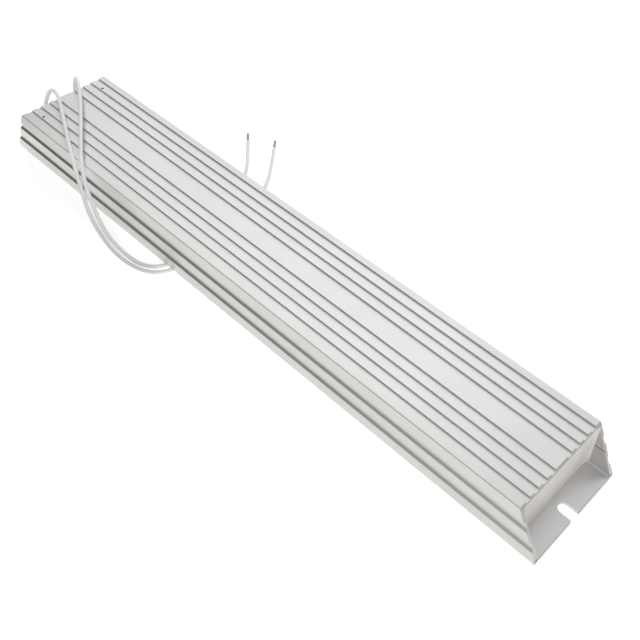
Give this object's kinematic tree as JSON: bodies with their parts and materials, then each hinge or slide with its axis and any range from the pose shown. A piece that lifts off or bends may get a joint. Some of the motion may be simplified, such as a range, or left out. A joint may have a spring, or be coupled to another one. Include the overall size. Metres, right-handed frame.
{
  "type": "braking resistor",
  "caption": "Flat ribbed aluminium-housed braking resistor with an open fixing slot at each end, cement end seals and two insulated leads with bare ends at one end.",
  "frame": {"origin": "centre of the housing: halfway along its length, on its middle plane, halfway between the base's underside and the ribbed top", "axes": "+X along the housing towards the end without leads, +Y across it, +Z out of the ribbed top; the base lies 15 mm below the origin"},
  "size_m": [0.4, 0.1388, 0.0394],
  "materials": {
    "housing": "extruded, fine bead-blasted and clear anodised, with bare sawn ends",
    "seal_cement": "matt cement, trowelled flat",
    "lead_insulation": "smooth silicone rubber with a soft sheen",
    "tinned_strand": "tinned copper strands, dulled",
    "core_ceramic": "unglazed",
    "resistance_wire": "dull oxidised alloy wire",
    "terminal_steel": "plain pressed strip",
    "glass_sleeve": "woven glass-fibre sleeving",
    "mica": "bonded mica sheet",
    "filler_cement": "packed and set mineral filler"
  },
  "bodies": {
    "root": {"housing": "housing", "end_seal_near": "seal_cement", "end_seal_lead": "seal_cement", "lead_left": "lead_insulation", "lead_right": "lead_insulation", "lead_tip_left": "tinned_strand", "lead_tip_right": "tinned_strand", "core_left": "core_ceramic", "core_right": "core_ceramic", "winding_left": "resistance_wire", "winding_right": "resistance_wire", "lead_band_left": "terminal_steel", "lead_band_right": "terminal_steel", "link_band_left": "terminal_steel", "link_band_right": "terminal_steel", "link_strap": "terminal_steel", "crimp_left": "tinned_strand", "crimp_right": "tinned_strand", "conductor_left": "tinned_strand", "conductor_right": "tinned_strand", "exit_sleeve_left": "glass_sleeve", "exit_sleeve_right": "glass_sleeve", "mica_top": "mica", "mica_base": "mica", "mica_left": "mica", "mica_right": "mica", "filler": "filler_cement"}
  },
  "joints": []
}
